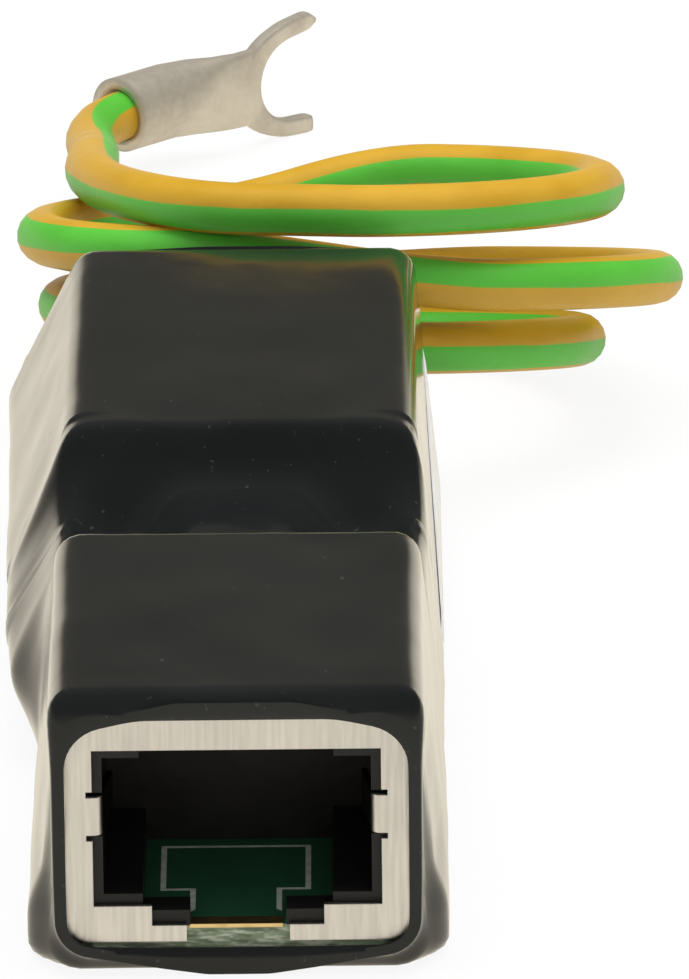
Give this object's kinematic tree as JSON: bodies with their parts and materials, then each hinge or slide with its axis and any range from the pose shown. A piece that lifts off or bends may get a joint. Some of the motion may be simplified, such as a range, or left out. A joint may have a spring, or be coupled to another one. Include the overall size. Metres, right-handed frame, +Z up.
{
  "type": "inline ethernet surge protector",
  "caption": "Slim network surge protector: a board with a shielded jack at each end in a heat-shrunk sleeve, with a coiled earth wire and a fork terminal.",
  "frame": {"origin": "on the flat underside of the sleeve, on the jacks' centre plane and midway between the ports", "axes": "+X to the right seen from the front port, +Y from the front port to the rear port, +Z up"},
  "size_m": [0.0336, 0.1219, 0.0158],
  "materials": {
    "heat_shrink": "satin black heat-shrunk film",
    "label_paper": "blank off-white label",
    "board_green": "green solder mask on glass fibre board",
    "chip_black": "moulded black",
    "tinned_copper": "bare stranded wire, tinned",
    "solder": "solder",
    "earth_insulation": "yellow insulation with a green stripe",
    "tinned_terminal": "matte tin plate",
    "nickel_shield": "satin nickel plate with a fine grain",
    "housing_black": "moulded black",
    "insert_black": "moulded black",
    "contact_gold": "gold plated spring wire",
    "tube_ceramic": "white ceramic between metal caps",
    "capacitor_yellow": "boxed film capacitor"
  },
  "bodies": {
    "root": {"heat_shrink_sleeve": "heat_shrink", "side_label": "label_paper", "circuit_board": "board_green", "chip_resistors": "chip_black", "ground_wire_conductor": "tinned_copper", "ground_solder_joint": "solder", "ground_wire_inner": "earth_insulation", "ground_wire_lead": "earth_insulation", "ground_wire_coil": "earth_insulation", "ground_wire_tail": "earth_insulation", "fork_terminal": "tinned_terminal", "front_shield": "nickel_shield", "front_housing": "housing_black", "front_contact_insert": "insert_black", "rear_shield": "nickel_shield", "rear_housing": "housing_black", "rear_contact_insert": "insert_black", "front_contact_1": "contact_gold", "front_contact_2": "contact_gold", "front_contact_3": "contact_gold", "front_contact_4": "contact_gold", "front_contact_5": "contact_gold", "front_contact_6": "contact_gold", "front_contact_7": "contact_gold", "front_contact_8": "contact_gold", "rear_contact_1": "contact_gold", "rear_contact_2": "contact_gold", "rear_contact_3": "contact_gold", "rear_contact_4": "contact_gold", "rear_contact_5": "contact_gold", "rear_contact_6": "contact_gold", "rear_contact_7": "contact_gold", "rear_contact_8": "contact_gold", "gas_tube_1": "tube_ceramic", "tvs_array_1": "chip_black", "gas_tube_2": "tube_ceramic", "tvs_array_2": "chip_black", "gas_tube_3": "tube_ceramic", "tvs_array_3": "chip_black", "gas_tube_4": "tube_ceramic", "tvs_array_4": "chip_black", "box_capacitor_1": "capacitor_yellow", "box_capacitor_2": "capacitor_yellow"}
  },
  "joints": []
}
